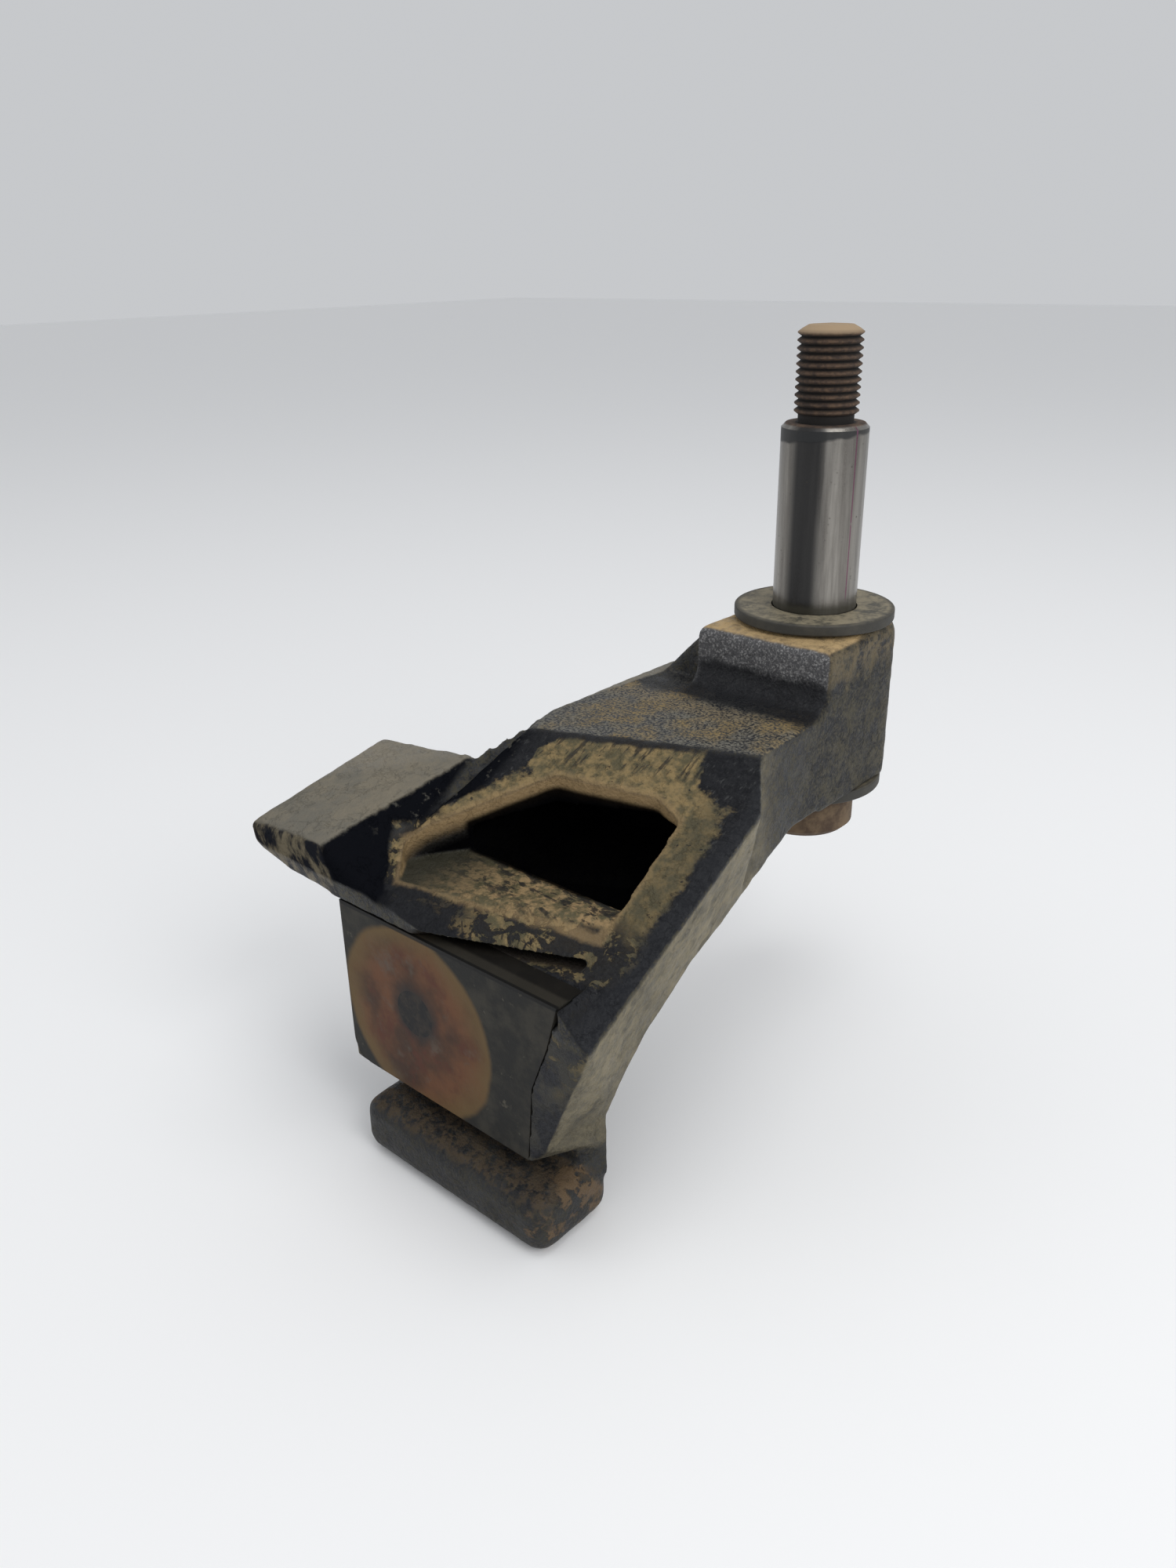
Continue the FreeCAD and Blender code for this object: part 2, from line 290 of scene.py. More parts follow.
    def blob(self, centre, radius, soft=0.6, ragged=0.35, grain=9.0, squash=(1, 1, 1)):
        """1 inside a ragged ball, 0 outside; centre and radius in millimetres."""
        offset = self.tree.nodes.new("ShaderNodeVectorMath")
        offset.operation = "SUBTRACT"
        self.link(self.place, offset.inputs[0])
        offset.inputs[1].default_value = centre
        scaled = self.tree.nodes.new("ShaderNodeVectorMath")
        scaled.operation = "MULTIPLY"
        self.link(offset.outputs[0], scaled.inputs[0])
        scaled.inputs[1].default_value = [1.0 / (radius * s) for s in squash]
        length = self.tree.nodes.new("ShaderNodeVectorMath")
        length.operation = "LENGTH"
        self.link(scaled.outputs[0], length.inputs[0])
        edge = self.times(self.minus(self.noise(grain, 5.0, 0.6, shift=centre[0] * 0.1), 0.5), 2 * ragged)
        return self.invert(self.step(self.add(length.outputs["Value"], edge), 1 - soft, 1 + soft * 0.3))

    def mix(self, factor, a, b):
        node = self.tree.nodes.new("ShaderNodeMix")
        node.data_type = "RGBA"
        self.feed(factor, node.inputs[0])
        self.feed(a, node.inputs[6])
        self.feed(b, node.inputs[7])
        return node.outputs[2]

    def blend_value(self, factor, a, b):
        node = self.tree.nodes.new("ShaderNodeMix")
        node.data_type = "FLOAT"
        self.feed(factor, node.inputs[0])
        self.feed(a, node.inputs[2])
        self.feed(b, node.inputs[3])
        return node.outputs[0]

    def bump(self, height, distance, strength=1.0, under=None):
        node = self.tree.nodes.new("ShaderNodeBump")
        node.inputs["Strength"].default_value = strength
        node.inputs["Distance"].default_value = distance * MM
        self.link(height, node.inputs["Height"])
        if under:
            self.link(under, node.inputs["Normal"])
        return node.outputs[0]

    def finish(self, colour, roughness, normal, metallic=None):
        self.feed(colour, self.shader.inputs["Base Color"])
        self.feed(roughness, self.shader.inputs["Roughness"])
        self.link(normal, self.shader.inputs["Normal"])
        if metallic is not None:
            self.feed(metallic, self.shader.inputs["Metallic"])
        return self.material


# ---------------------------------------------------------------- colours (linear)
BLACK = (0.0055, 0.0060, 0.0080)
BLUE_BLACK = (0.014, 0.015, 0.019)
GREY = (0.055, 0.056, 0.055)
OLIVE = (0.085, 0.072, 0.036)
TAN = (0.245, 0.176, 0.080)
OCHRE = (0.270, 0.185, 0.090)
DUST = (0.150, 0.128, 0.088)
GREY_DUST = (0.160, 0.152, 0.128)
HOLLOW_PAINTED_SHADE = (0.0016, 0.0016, 0.0020)
BACK_TAN = (0.210, 0.160, 0.090)
BOSS_TAN = (0.440, 0.310, 0.155)
STEP_BLACK = (0.080, 0.079, 0.082)
STEP_GLINT = (0.300, 0.295, 0.290)
SIDE_OLIVE = (0.064, 0.056, 0.035)
SIDE_TAN = (0.130, 0.102, 0.058)
DEEP_OLIVE = (0.060, 0.052, 0.030)
RIDGE_BLACK = (0.012, 0.013, 0.016)
WALL_BROWN = (0.006, 0.005, 0.004)
LUG_GREY = (0.165, 0.155, 0.130)
LUG_TAN = (0.215, 0.190, 0.145)
FLANK_OLIVE = (0.108, 0.094, 0.060)
FLANK_TAN = (0.235, 0.200, 0.124)
FLANK_WORN = (0.040, 0.038, 0.030)
FLANK_LOW = (0.030, 0.028, 0.022)
FLOOR_SHADE = (0.030, 0.028, 0.018)
GAP_BROWN = (0.016, 0.012, 0.009)
SHOULDER_GREY = (0.040, 0.038, 0.032)
FOOT_BLACK = (0.012, 0.012, 0.012)
FOOT_RUST = (0.140, 0.088, 0.044)
FOOT_DUST = (0.110, 0.074, 0.042)
BARE_METAL = (0.300, 0.280, 0.240)
FACE_BLACK = (0.012, 0.012, 0.011)
FACE_GREY = (0.036, 0.033, 0.026)
FACE_SCUFF = (0.110, 0.098, 0.072)
RUST_BROWN = (0.050, 0.024, 0.014)
RUST_ORANGE = (0.135, 0.056, 0.024)
RUST_RED = (0.090, 0.030, 0.018)
RUST_GREY = (0.100, 0.085, 0.066)
MARK_RIM = (0.125, 0.078, 0.030)
MARK_CORE = (0.019, 0.018, 0.018)
TOP_PAINTED_SHADE = (0.007, 0.006, 0.005)
TOP_GREY = (0.026, 0.023, 0.018)
LIP_PAINTED_SHADOW = (0.006, 0.006, 0.006)
RIVET_BLACK = (0.008, 0.008, 0.009)
RIVET_BROWN = (0.028, 0.022, 0.018)
STEEL_DARK = (0.180, 0.168, 0.152)
STEEL_LIGHT = (0.300, 0.284, 0.258)
STEEL_PAINTED_REFLECTION = (0.012, 0.012, 0.013)
STEEL_SPECK = (0.040, 0.034, 0.028)
STEEL_BURNT = (0.010, 0.011, 0.012)
SHANK_DIRT = (0.030, 0.027, 0.016)
CRAYON = (0.170, 0.045, 0.100)
THREAD_BROWN = (0.030, 0.018, 0.012)
THREAD_RUST = (0.105, 0.062, 0.036)
THREAD_ROOT = (0.007, 0.005, 0.004)
TIP_TAN = (0.330, 0.235, 0.140)
HEAD_BROWN = (0.062, 0.036, 0.020)
HEAD_TAN = (0.150, 0.100, 0.055)
WASHER_DARK = (0.060, 0.056, 0.042)
WASHER_LIGHT = (0.120, 0.108, 0.076)
WASHER_DUST = (0.255, 0.218, 0.145)
WASHER_EDGE = (0.026, 0.025, 0.023)
BRONZE_DARK = (0.32, 0.20, 0.085)
BRONZE_LIGHT = (0.50, 0.34, 0.15)

# ---------------------------------------------------------------- places on the casting, in millimetres
WINDOW = [(115, -24), (105, 10), (108, 21), (150, 24.5), (168, -42), (157, -51), (149, -48)]
FRONT_POINT = (107, -44, -27)
FRONT_NORMAL = (0.4386, 0.1778, 0.8809)
BROW_DIRECTION = (0.9267, 0.3757, 0)
FLOOR_Z = -58.6
WINDOW_LOW_EDGE = ((150, 24.5, 0), (66.5, 18, 0))    # a point on it, and the direction away from the window
HOLLOW_FLOOR = ((80, 0, -66), (0.36, 0, 0.93))
LUG_SLOPE = -0.117                                   # the lug's inner edge is y = slope * x + edge
LUG_EDGE = -41.0


def casting_material():
    """Black paint over sand casting, with dust on what faces up and ochre where the paint is rubbed;
    painted shade in the window's hollow, on its floor and at the boss corner, painted sheen on the boss
    front.

    Places are millimetres in the CAD frame. A mask is 0..1, and changes between its two limits.
    """
    g = Graph("cast_paint_worn")
    broad = g.noise(30, 4, 0.6)
    medium = g.noise(9, 6, 0.62, shift=3.0)
    small = g.noise(3.2, 6, 0.62, shift=5.0)
    grain = g.noise(1.0, 4, 0.6, shift=7.0)
    sand = g.step(g.weighted(small, 0.45, grain, 0.55), 0.44, 0.60)
    patches = g.noise(8.0, 8, 0.66, 0.5, shift=21.0)
    islands = g.step(g.weighted(patches, 0.8, small, 0.2), 0.47, 0.50)

    up = g.facing((0, 0, 1), 0.35, 0.85)
    right = g.facing((0, 1, 0), 0.45, 0.85)
    depth = g.beyond(FRONT_POINT, FRONT_NORMAL)
    brow = g.beyond(FRONT_POINT, BROW_DIRECTION)
    window = g.outline(WINDOW)

    # paint all over: black, thinned to grey where it is rubbed
    colour = g.mix(g.step(g.weighted(broad, 0.4, medium, 0.6), 0.42, 0.62), BLUE_BLACK, GREY)
    colour = g.mix(g.times(sand, 0.5), colour, OLIVE)

    # platform: sand grains of dust on black
    platform = g.all_of(up, g.between(g.z, -29.5, -24.0), g.below(brow, -2.0, 1.0))
    platform_dust = g.mix(g.step(g.wavy(broad, medium, 0.3), 0.40, 0.62), GREY_DUST, TAN)
    grains = g.step(g.weighted(grain, 0.75, small, 0.25), 0.44, 0.56)
    colour = g.mix(g.times(platform, g.times(grains, 0.95)), colour, platform_dust)
    # painted shade: the platform is darkened to black at the foot of the boss step
    colour = g.mix(g.all_of(platform, g.below(g.wavy(g.x, medium, 8), 44, 54), 0.8), colour, BLACK)
    back_dust = g.all_of(platform, g.between(g.wavy(g.x, medium, 6), 50, 60, 4), g.below(g.y, 0, 24))
    colour = g.mix(g.all_of(back_dust, grains, 0.7), colour, BACK_TAN)

    # boss: dusty top, blue-black front with painted sheen and glints, painted shade in the hollow corner,
    # grey-green right side
    boss_top = g.all_of(g.step(g.z, -8.5, -6.0), g.facing((0, 0, 1), 0.6, 0.9))
    dusted = g.add(0.55, g.times(g.step(g.weighted(small, 0.6, medium, 0.4), 0.36, 0.54), 0.43))
    colour = g.mix(g.times(boss_top, dusted), colour, BOSS_TAN)
    boss_front = g.all_of(g.facing((1, 0, 0), 0.35, 0.8), g.between(g.x, 31, 44), g.step(g.z, -27, -25))
    # painted highlight: the grey base and light specks of the boss front stand in for the sheen and glints
    # of its glossy black paint
    specks = g.step(g.noise(0.8, 4, 0.7, shift=41.0), 0.48, 0.62)
    colour = g.mix(boss_front, colour, g.mix(g.times(specks, 0.8), STEP_BLACK, STEP_GLINT))
    # painted shade: the lower boss front and the hollow corner at its foot are darkened to black
    corner = g.all_of(g.between(g.x, 32, 46, 2), g.between(g.wavy(g.z, medium, 4), -28, -17, 2),
                      g.step(g.y, -30, -24))
    colour = g.mix(g.times(corner, 0.92), colour, BLACK)
    boss_side = g.all_of(g.below(g.x, 36, 60), right)
    side_tone = g.mix(g.step(g.weighted(medium, 0.5, grain, 0.5), 0.42, 0.60), BLACK, SIDE_OLIVE)
    near_top = g.step(g.wavy(g.z, medium, 14), -22, -12)
    side_tone = g.mix(g.times(near_top, g.step(small, 0.38, 0.58)), side_tone, SIDE_TAN)
    colour = g.mix(g.times(boss_side, 0.9), colour, side_tone)

    # sloping front: how far the rubbed ochre reaches out from the window
    on_front = g.all_of(g.between(depth, -3.0, 9.0), g.step(brow, -1.0, 2.0),
                        g.facing(FRONT_NORMAL, 0.55, 0.85))
    reach = g.add(4.5, g.times(g.step(g.y, -30, -2), 7.5))
    top_bar = g.all_of(g.below(brow, 10, 16), g.between(g.wavy(g.y, medium, 8), -34, 14, 7))
    reach = g.add(reach, g.times(top_bar, 14.0))
    torn = g.noise(7, 8, 0.7, shift=19.0)
    inside_reach = g.below(g.minus(g.wavy(window, torn, 8), reach), -1.2, 1.2)
    rubbed = g.mix(g.step(g.weighted(broad, 0.3, small, 0.7), 0.40, 0.60), OLIVE, TAN)
    rubbed = g.mix(g.times(g.step(g.y, 20, 28), 0.55), rubbed, DEEP_OLIVE)
    scrapes = g.noise(1.6, 5, 0.6, where=g.stretched((0.35, 1.6, 1)), shift=13.0)
    front_paint = g.mix(g.times(g.step(scrapes, 0.55, 0.66), 0.6), BLACK, GREY)
    front = g.mix(g.times(inside_reach, 0.95), front_paint, rubbed)
    streaks = g.step(g.noise(2.2, 5, 0.6, where=g.stretched((0.22, 1.3, 0.22)), shift=17.0), 0.52, 0.60)
    front = g.mix(g.all_of(streaks, g.below(brow, 8, 15), 0.75), front, BLACK)
    lower = g.step(g.wavy(g.beyond(*WINDOW_LOW_EDGE), medium, 3), -2, 2)
    leg = g.step(g.wavy(g.x, medium, 6), 140, 148)
    broken = g.all_of(g.most(lower, leg), islands)
    front = g.mix(g.times(broken, 0.95), front, BLACK)
    pores = g.step(g.noise(2.6, 5, 0.7, shift=33.0), 0.62, 0.66)
    front = g.mix(g.times(pores, 0.85), front, BLACK)
    cracks = g.below(g.cells(7.0, "DISTANCE_TO_EDGE", g.stretched((1.5, 0.6, 1.0))), 0.01, 0.05)
    front = g.mix(g.all_of(cracks, lower, g.step(small, 0.45, 0.55), 0.8), front, BLACK)
    left_dark = g.all_of(lower, g.below(g.wavy(g.y, medium, 10), -22, -4))
    front = g.mix(g.times(left_dark, 0.85), front, BLACK)
    ridge = g.step(g.wavy(g.y, medium, 6), 33, 38)
    front = g.mix(g.times(ridge, 0.85), front, RIDGE_BLACK)
    colour = g.mix(on_front, colour, front)

    # rim of the window rubbed to bright ochre
    rim_at = g.wavy(window, g.noise(6, 6, 0.65, shift=27.0), 2.6)
    rim = g.all_of(g.between(rim_at, -2.6, 1.2, 1.1), g.step(depth, -6, -2))
    colour = g.mix(g.times(rim, g.add(0.30, g.times(medium, 0.6))), colour, OCHRE)
    wall = g.all_of(g.below(window, 0.2, 1.4), g.below(depth, -1.6, -0.4))
    wall_tone = g.mix(g.step(g.wavy(depth, medium, 2.5), -8.0, -2.5), WALL_BROWN, OCHRE)
    colour = g.mix(g.times(wall, 0.9), colour, wall_tone)

    # dark brow along the front edge of the platform
    brow_band = g.all_of(g.between(g.wavy(brow, medium, 2.5), -2.2, 1.8, 0.8), g.step(g.z, -34, -30), up)
    colour = g.mix(g.all_of(brow_band, g.below(g.y, 4, 22), 0.92), colour, BLACK)

    # left rib and lug
    rib = g.all_of(g.below(g.wavy(g.y, medium, 4), -44, -38), g.step(g.x, 100, 112),
                   g.step(g.wavy(window, medium, 3), 3.5, 5.0), g.step(depth, -3, -1))
    rib_specks = g.times(g.step(small, 0.58, 0.66), g.below(g.x, 150, 170))
    colour = g.mix(rib, colour, g.mix(g.times(rib_specks, 0.35), BLACK, GREY_DUST))
    lug = g.below(g.minus(g.wavy(g.y, small, 1.5), g.times(g.x, LUG_SLOPE)), LUG_EDGE - 0.8, LUG_EDGE + 0.8)
    lug_dust = g.mix(g.step(g.weighted(broad, 0.6, small, 0.4), 0.38, 0.62), LUG_GREY, LUG_TAN)
    colour = g.mix(g.all_of(lug, up, 0.95), colour, lug_dust)
    lug_front = g.all_of(lug, g.facing((1, 0, 0), 0.4, 0.8))
    lug_streaks = g.noise(4.0, 5, 0.6, where=g.stretched((1, 1, 0.3)), shift=23.0)
    colour = g.mix(lug_front, colour, g.mix(g.step(lug_streaks, 0.45, 0.62), BLUE_BLACK, DUST))
    lug_edge = g.all_of(lug, g.step(g.x, 174, 180), g.step(g.wavy(g.pointy, small, 0.05), 0.53, 0.58))
    colour = g.mix(g.times(lug_edge, 0.7), colour, OCHRE)

    # right flank below the ridge: smooth grey-tan
    flank = g.all_of(right, g.step(g.x, 60, 90), g.step(g.z, -132, -126), g.step(g.y, 12, 20),
                     g.below(depth, -2.5, -0.8))
    flank_tone = g.mix(g.step(g.weighted(broad, 0.45, small, 0.55), 0.38, 0.62), FLANK_OLIVE, FLANK_TAN)
    worn = g.step(g.weighted(medium, 0.7, broad, 0.3), 0.52, 0.60)
    flank_tone = g.mix(g.times(worn, 0.55), flank_tone, FLANK_WORN)
    flank_tone = g.mix(g.times(g.below(g.z, -118, -84), 0.35), flank_tone, FLANK_LOW)
    colour = g.mix(g.times(flank, 0.92), colour, flank_tone)

    # window floor: sand and black flecks with painted shade towards the left, then the hollow painted near
    # black as shade
    floor = g.all_of(g.between(g.z, FLOOR_Z - 1.5, FLOOR_Z + 1.5, 0.6), g.below(window, -1.0, 1.0), up)
    flecks = g.step(g.noise(5.0, 7, 0.7, 0.4, where=g.stretched((1.6, 0.8, 1)), shift=31.0), 0.50, 0.56)
    floor_tone = g.mix(g.step(small, 0.40, 0.60), OLIVE, OCHRE)
    floor_tone = g.mix(g.all_of(flecks, g.below(g.x, 150, 160), 0.85), floor_tone, BLACK)
    # painted shade: the floor darkens towards its deep left side
    floor_tone = g.mix(g.below(g.y, -44, -10), floor_tone, FLOOR_SHADE)
    colour = g.mix(floor, colour, floor_tone)
    # painted shade: deep inside the window and in the hollow behind it, the casting is painted near black
    within = g.all_of(g.below(window, 0.5, 2.5), g.below(depth, -10, -6), g.invert(floor))
    hollow = g.all_of(g.between(g.x, 78, 139.5), g.between(g.y, -50, 25.5), g.below(depth, -5, -3),
                      g.below(g.z, -34, -32),
                      g.step(g.beyond(*HOLLOW_FLOOR), 0, 2))
    dark = g.most(within, hollow)
    gap = g.all_of(g.between(g.x, 149, 184), g.between(g.y, -32, 30.5), g.between(g.z, -69.2, -60, 0.6),
                   g.below(depth, -3.0, -1.0))
    colour = g.mix(g.times(gap, 0.92), colour, GAP_BROWN)
    colour = g.mix(g.times(dark, 0.97), colour, HOLLOW_PAINTED_SHADE)

    # edge of the leg beside the block: black, with broken ochre at its upper end
    shoulder = g.all_of(g.facing((1, 0.25, 0.1), 0.45, 0.75), g.step(g.x, 152, 158), g.between(g.y, 16, 44),
                        g.between(g.z, -127, -62), g.below(depth, -3, -1))
    flaked = g.all_of(g.step(g.wavy(g.z, medium, 18), -98, -82), g.invert(islands),
                      g.step(small, 0.36, 0.48))
    shoulder_tone = g.mix(g.step(medium, 0.42, 0.60), BLUE_BLACK, SHOULDER_GREY)
    shoulder_tone = g.mix(g.times(flaked, 0.9), shoulder_tone, rubbed)
    colour = g.mix(g.times(shoulder, 0.95), colour, shoulder_tone)

    # foot: dark, ochre at its right end and in the slot
    foot = g.below(g.z, -132, -129)
    rusty = g.all_of(foot, g.step(g.wavy(g.y, broad, 22), 14, 26), islands)
    colour = g.mix(g.times(foot, 0.5), colour, FOOT_BLACK)
    rusty = g.times(rusty, g.step(g.noise(12, 4, 0.6, shift=37.0), 0.44, 0.54))
    colour = g.mix(g.times(rusty, 0.7), colour, FOOT_RUST)
    foot_top = g.all_of(foot, up, g.step(small, 0.42, 0.56))
    colour = g.mix(g.times(foot_top, 0.42), colour, FOOT_DUST)

    # bare chips on the sharpest edges
    chips = g.all_of(g.step(g.wavy(g.pointy, small, 0.05), 0.575, 0.61), g.step(medium, 0.50, 0.56))
    colour = g.mix(g.times(chips, 0.55), colour, BARE_METAL)

    roughness = g.blend_value(g.step(g.weighted(small, 0.5, medium, 0.5), 0.35, 0.65), 0.36, 0.60)
    roughness = g.blend_value(g.times(up, sand), roughness, 0.80)
    shine = g.blend_value(g.most(rib, dark), 0.22, 0.0)
    g.feed(shine, g.shader.inputs["Specular IOR Level"])
    height = g.add(g.weighted(small, 0.45, grain, 0.55), g.times(islands, 0.15))
    return g.finish(colour, roughness, g.bump(height, 1.1, 0.9))


def block_material():
    """Machined face with a round rust mark; the rest dark and scuffed, with painted shade on the top behind
    its grey strip and a painted shadow line along its front edge.
    """
    g = Graph("anvil_face_worn")
    medium = g.noise(9, 6, 0.62)
    broad = g.noise(24, 4, 0.6, shift=5.0)
    fine = g.noise(1.6, 5, 0.6, shift=9.0)
    base = g.mix(g.step(medium, 0.38, 0.66), FACE_BLACK, FACE_GREY)
    scuffs = g.step(g.noise(5.5, 6, 0.7, shift=12.0), 0.60, 0.68)
    base = g.mix(g.times(scuffs, 0.6), base, FACE_SCUFF)
    centre = [c / MM for c in MARK_CENTRE]
    place = (centre[0], centre[1], centre[2] - 3.5)
    disc = g.blob(place, MARK_R, 0.06, 0.04, 14, (9, 1, 1))
    inner = g.blob(place, MARK_R - 3, 0.30, 0.22, 14, (9, 1, 1))
    rust = g.mix(g.step(broad, 0.38, 0.62), RUST_BROWN, RUST_ORANGE)
    rust = g.mix(g.times(g.step(medium, 0.50, 0.64), 0.8), rust, RUST_RED)
    rust = g.mix(g.times(g.step(g.noise(13, 5, 0.6, shift=15.0), 0.55, 0.70), 0.7), rust, RUST_GREY)
    marked = g.mix(inner, MARK_RIM, rust)
    colour = g.mix(g.times(disc, 0.95), base, marked)
    core = g.blob(centre, 11.5, 0.5, 0.3, 6, (9, 1, 1))
    colour = g.mix(g.times(core, 0.9), colour, MARK_CORE)
    # painted shade: the top turns black behind its grey front strip, in the slit under the bar
    top = g.facing((0, 0, 1), 0.6, 0.9)
    colour = g.mix(g.times(top, 0.85), colour, g.mix(g.step(g.x, 170.5, 172.0), TOP_PAINTED_SHADE,
                                                    TOP_GREY))
    # painted shadow: a black line along the top front edge stands in for the shadow of the groove there
    top_lip = g.all_of(g.between(g.z, BLOCK_TOP - 1.3, BLOCK_TOP + 1, 0.3), g.step(g.x, 174.6, 175.2))
    colour = g.mix(g.times(top_lip, 0.9), colour, LIP_PAINTED_SHADOW)
    roughness = g.blend_value(medium, 0.45, 0.70)
    g.feed(g.blend_value(top, 0.20, 0.05), g.shader.inputs["Specular IOR Level"])
    normal = g.bump(g.weighted(fine, 0.6, medium, 0.6), 0.22, 0.6)
    return g.finish(colour, roughness, normal)


def rivet_material():
    g = Graph("rivet_worn")
    medium = g.noise(5, 6, 0.65)
    colour = g.mix(g.step(medium, 0.42, 0.62), RIVET_BLACK, RIVET_BROWN)
    g.shader.inputs["Specular IOR Level"].default_value = 0.2
    return g.finish(colour, g.blend_value(medium, 0.45, 0.65), g.bump(g.noise(1.4, 4, 0.6), 0.15, 0.6))


def pin_material():
    """Ground shank with a painted dark reflection stripe, blackened top and dirty foot; rusty thread and
    head.
    """
    g = Graph("pin_worn")
    around = g.math("ARCTAN2", g.y, g.x)
    fine = g.noise(1.5, 5, 0.6)
    medium = g.noise(7, 6, 0.6, shift=4.0)
    streak = g.noise(3.0, 5, 0.6, where=g.stretched((1.0, 1.0, 0.06)), shift=8.0)
    steel = g.mix(g.step(streak, 0.35, 0.65), STEEL_DARK, STEEL_LIGHT)
    # painted reflection: a dark stripe along one fixed side of the shank, with the metal dulled there,
    # stands in for dark surroundings mirrored in the polished steel
    from_band = g.math("ABSOLUTE", g.minus(g.wavy(around, streak, 0.06), math.radians(10)))
    band = g.below(from_band, 0.22, 0.56)
    shank = g.mix(g.times(band, 0.94), steel, STEEL_PAINTED_REFLECTION)
    specks = g.below(g.cells(2.4), 0.10, 0.20)
    shank = g.mix(g.times(specks, g.step(medium, 0.45, 0.7)), shank, STEEL_SPECK)
    top_line = g.add(g.add(g.z, g.spread(g.noise(8, 4, 0.6), 1.4)), g.times(around, -1.2))
    blackened = g.times(g.step(top_line, 58.2, 59.4), g.below(g.z, 62.4, 62.7))
    shank = g.mix(g.times(blackened, 0.93), shank, STEEL_BURNT)
    dirt = g.below(g.wavy(g.z, medium, 1.5), 1.5, 4.5)
    shank = g.mix(g.times(dirt, 0.85), shank, SHANK_DIRT)
    line = g.below(g.math("ABSOLUTE", g.minus(around, math.radians(76))), 0.014, 0.026)
    shank = g.mix(g.all_of(line, g.step(g.z, 3, 8), g.step(fine, 0.30, 0.45), 0.7), shank, CRAYON)
    rust = g.mix(g.step(g.weighted(fine, 0.5, medium, 0.5), 0.40, 0.62), THREAD_BROWN,
                 THREAD_RUST)
    threaded = g.step(g.z, 63.2, 64.0)
    radius = g.math("SQRT", g.add(g.times(g.x, g.x), g.times(g.y, g.y)))
    thread = g.mix(g.step(radius, 9.8, 10.8), THREAD_ROOT, rust)
    thread = g.mix(g.step(g.z, 92.0, 94.2), thread, TIP_TAN)
    colour = g.mix(threaded, shank, thread)
    below = g.below(g.z, -69, -67)
    head = g.mix(g.step(medium, 0.40, 0.62), HEAD_BROWN, HEAD_TAN)
    colour = g.mix(below, colour, head)
    rusty = g.most(threaded, below)
    soiled = g.most(blackened, dirt)
    roughness = g.blend_value(rusty, g.blend_value(soiled, g.blend_value(streak, 0.22, 0.36), 0.5), 0.80)
    metallic = g.blend_value(g.most(rusty, g.times(g.most(soiled, g.times(band, 0.6)), 0.8)), 1.0, 0.0)
    return g.finish(colour, roughness, g.bump(g.add(fine, g.times(medium, 0.3)), 0.20, 0.35), metallic)


def washer_material():
    g = Graph("washer_worn")
    medium = g.noise(8, 6, 0.62)
    fine = g.noise(1.7, 5, 0.6, shift=6.0)
    colour = g.mix(g.step(medium, 0.40, 0.62), WASHER_DARK, WASHER_LIGHT)
    up = g.facing((0, 0, 1), 0.4, 0.9)
    dusty = g.step(g.weighted(medium, 0.6, fine, 0.4), 0.38, 0.58)
    colour = g.mix(g.times(up, g.times(dusty, 0.9)), colour, WASHER_DUST)
    radius = g.math("SQRT", g.add(g.times(g.x, g.x), g.times(g.y, g.y)))
    edge = g.step(g.wavy(radius, medium, 1.5), 26.3, 28.2)
    colour = g.mix(g.times(edge, 0.75), colour, WASHER_EDGE)
    g.shader.inputs["Specular IOR Level"].default_value = 0.4
    normal = g.bump(g.add(fine, g.times(medium, 0.5)), 0.3, 0.5)
    return g.finish(colour, g.blend_value(medium, 0.5, 0.75), normal)


def bronze_material():
    g = Graph("bush_bronze_bored")
    streak = g.noise(2.0, 4, 0.6, where=g.stretched((1.0, 1.0, 8.0)))
    colour = g.mix(g.step(streak, 0.4, 0.6), BRONZE_DARK, BRONZE_LIGHT)
    return g.finish(colour, g.blend_value(streak, 0.3, 0.45), g.bump(streak, 0.05, 0.4), 1.0)


# ---------------------------------------------------------------- pieces
# voxel size in millimetres and passes of smoothing
FULL_DETAIL = {"voxel": 0.8, "all_over": 5, "rounded": 20, "lug": 90}
SAND_LUMPS = [(0.12, 12, 1), (0.10, 4, 2), (0.10, 2, 3)]    # height and size in millimetres, seed


def plan_distance(points, outline):
    """Distance outside a convex clockwise plan outline, in millimetres, for each point."""
    far = np.full(len(points), -1e9)
    for (x0, y0), (x1, y1) in zip(outline, outline[1:] + outline[:1]):
        away = np.array([y0 - y1, x1 - x0]) / math.hypot(x1 - x0, y1 - y0)
        far = np.maximum(far, (points[:, :2] / MM - (x0, y0)) @ away)
    return far


def far_zones(points):
    """1 on the lug, whose corners are the roundest; 0 elsewhere."""
    return np.clip((-66 - points[:, 1] / MM) / 6, 0, 1)


def crisp_zones(points):
    """0 near the window and the block, where the casting keeps its edges; 1 elsewhere."""
    at = points / MM
    window = np.clip((plan_distance(points, WINDOW) - 3) / 4, 0, 1)
    window[at[:, 2] < BLOCK_TOP - 8] = 1
    low = np.array(BLOCK[0]) / MM - 4
    high = np.array(BLOCK[1]) / MM + 4
    outside = np.maximum(low - at, at - high).max(axis=1)
    return np.minimum(window, np.clip(outside / 4, 0, 1))


def relax_where(obj, passes, zones):
    """Relaxes the mesh by each vertex's weight in 0..1."""
    weights = zones(per_vertex(obj.data, "co"))
    group = obj.vertex_groups.new(name="soft")
    for level in range(1, 11):
        chosen = np.flatnonzero(np.round(weights * 10).astype(int) == level)
        group.add(chosen.tolist(), level / 10, "REPLACE")
    relax(obj, passes, group.name)
    obj.vertex_groups.clear()


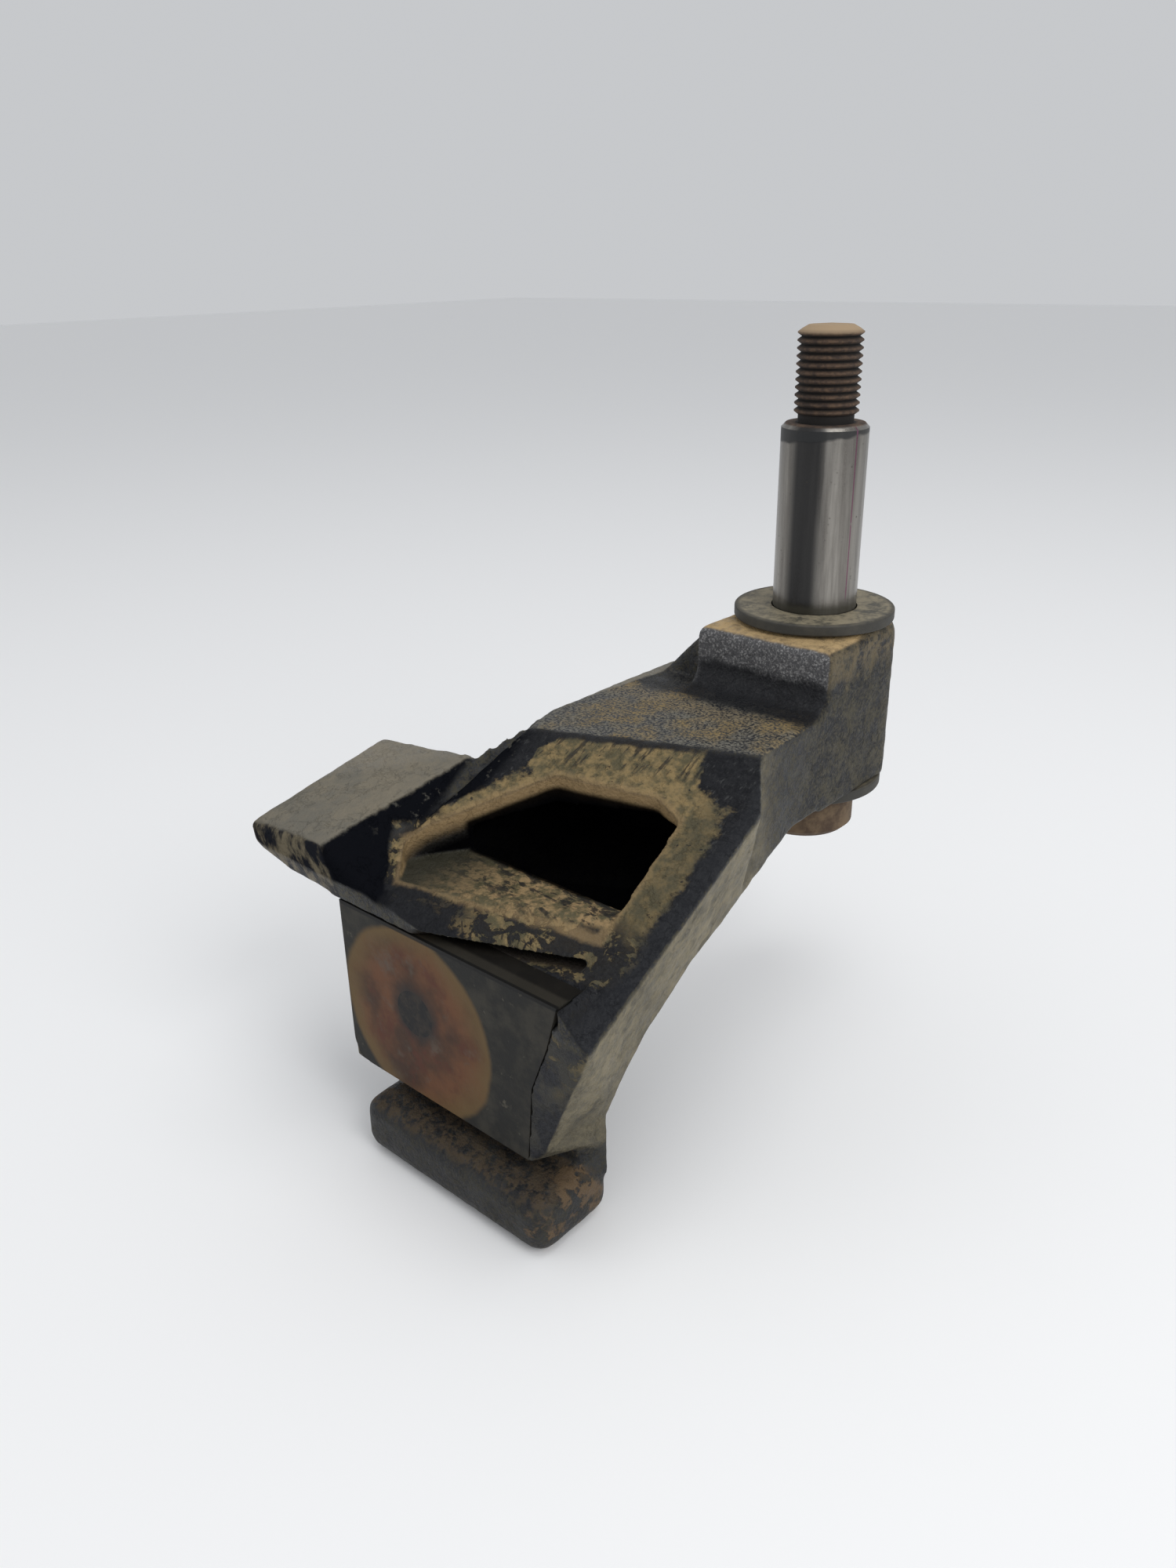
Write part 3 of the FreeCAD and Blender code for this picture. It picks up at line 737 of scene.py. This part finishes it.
def make_casting(material):
    """The sand casting: corners rounded by relaxing a fine remesh, then the lumps and pits of the mould."""
    obj = copy_of("arm_casting", "arm_casting_body")
    detail = FULL_DETAIL
    remesh(obj, detail["voxel"] * MM)
    relax(obj, detail["all_over"])
    relax_where(obj, detail["rounded"], crisp_zones)
    relax_where(obj, detail["lug"], far_zones)
    mesh = obj.data
    points = per_vertex(mesh, "co")
    lumps = sum(height * lattice_noise(points, cell * MM, seed) for height, cell, seed in SAND_LUMPS)
    points = points + per_vertex(mesh, "normal") * (lumps * MM)[:, None]
    points = np.clip(points, np.array(ARM[0]), np.array(ARM[1]))
    mesh.vertices.foreach_set("co", points.ravel())
    mesh.update()
    shade_smooth(obj)
    mesh.materials.append(material)
    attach(obj, "arm")
    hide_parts("arm_casting")
    return obj


def dress(node, material):
    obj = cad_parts[node]
    obj.data.materials.clear()
    obj.data.materials.append(material)


# ---------------------------------------------------------------- studio and camera
FLOOR_REACH = 6.0
FLOOR_ALBEDO = (0.93, 0.93, 0.93)
WORLD_COLOUR = (0.95, 0.97, 1.0, 1)
WORLD_STRENGTH = 0.60
LAMPS_AIM = Vector((70 * MM, 0, -40 * MM))
# name, place from the aim in metres, diameter in metres, power in watts
LAMPS = [("key", (0.25, 1.15, 0.95), 0.9, 8.0),
         ("top", (-0.1, 0.2, 1.4), 1.0, 4.5),
         ("fill", (1.0, -0.9, 0.5), 0.8, 1.2)]
CAMERA_AT = (0.3695, 0.2151, 0.1180)
CAMERA_FORWARD = (-0.683, -0.604, -0.410)
CAMERA_ROLL = 1.03    # degrees about the line of sight
CAMERA_LENS = 27.1
CAMERA_SENSOR = 36.0
CAMERA_NEAR = 0.01


def make_studio():
    """Pale floor, white world, broad soft lights."""
    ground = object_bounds()[0].z
    floor_mesh = bpy.data.meshes.new("floor")
    corners = [(-FLOOR_REACH, -FLOOR_REACH), (FLOOR_REACH, -FLOOR_REACH), (FLOOR_REACH, FLOOR_REACH),
               (-FLOOR_REACH, FLOOR_REACH)]
    floor_mesh.from_pydata([(x, y, ground) for x, y in corners], [], [(0, 1, 2, 3)])
    floor = bpy.data.objects.new("studio_floor", floor_mesh)
    bpy.context.scene.collection.objects.link(floor)
    g = Graph("studio_floor_paint")
    g.finish(FLOOR_ALBEDO, 0.7, g.bump(g.noise(4.0), 0.02, 0.1))
    floor_mesh.materials.append(g.material)

    world = bpy.data.worlds.new("studio")
    bpy.context.scene.world = world
    world.use_nodes = True
    background = world.node_tree.nodes["Background"]
    background.inputs["Color"].default_value = WORLD_COLOUR
    background.inputs["Strength"].default_value = WORLD_STRENGTH

    for name, spot, size, power in LAMPS:
        lamp = bpy.data.lights.new("studio_" + name, "AREA")
        lamp.shape = "DISK"
        lamp.size = size
        lamp.energy = power
        obj = bpy.data.objects.new("studio_" + name, lamp)
        obj.location = LAMPS_AIM + Vector(spot)
        obj.rotation_mode = "QUATERNION"
        obj.rotation_quaternion = (LAMPS_AIM - obj.location).to_track_quat("-Z", "Y")
        bpy.context.scene.collection.objects.link(obj)


def make_camera():
    """A wide lens, looking down on the arm's front right corner."""
    camera = bpy.data.cameras.new("camera")
    camera.lens = CAMERA_LENS
    camera.sensor_width = CAMERA_SENSOR
    camera.clip_start = CAMERA_NEAR
    obj = bpy.data.objects.new("camera", camera)
    obj.location = Vector(CAMERA_AT)
    forward = Vector(CAMERA_FORWARD).normalized()
    obj.rotation_mode = "QUATERNION"
    turn = forward.to_track_quat("-Z", "Y")
    roll = Matrix.Rotation(math.radians(CAMERA_ROLL), 4, forward).to_quaternion()
    obj.rotation_quaternion = roll @ turn
    bpy.context.scene.collection.objects.link(obj)
    bpy.context.scene.camera = obj


make_casting(casting_material())
dress("anvil_block", block_material())
dress("block_rivet", rivet_material())
dress("pivot_pin", pin_material())
washer_steel = washer_material()
for washer in ("upper_washer", "lower_washer"):
    dress(washer, washer_steel)
bush_bronze = bronze_material()
for bush in ("upper_bushing", "lower_bushing"):
    dress(bush, bush_bronze)
make_studio()
make_camera()

bpy.context.scene.view_settings.view_transform = "Standard"
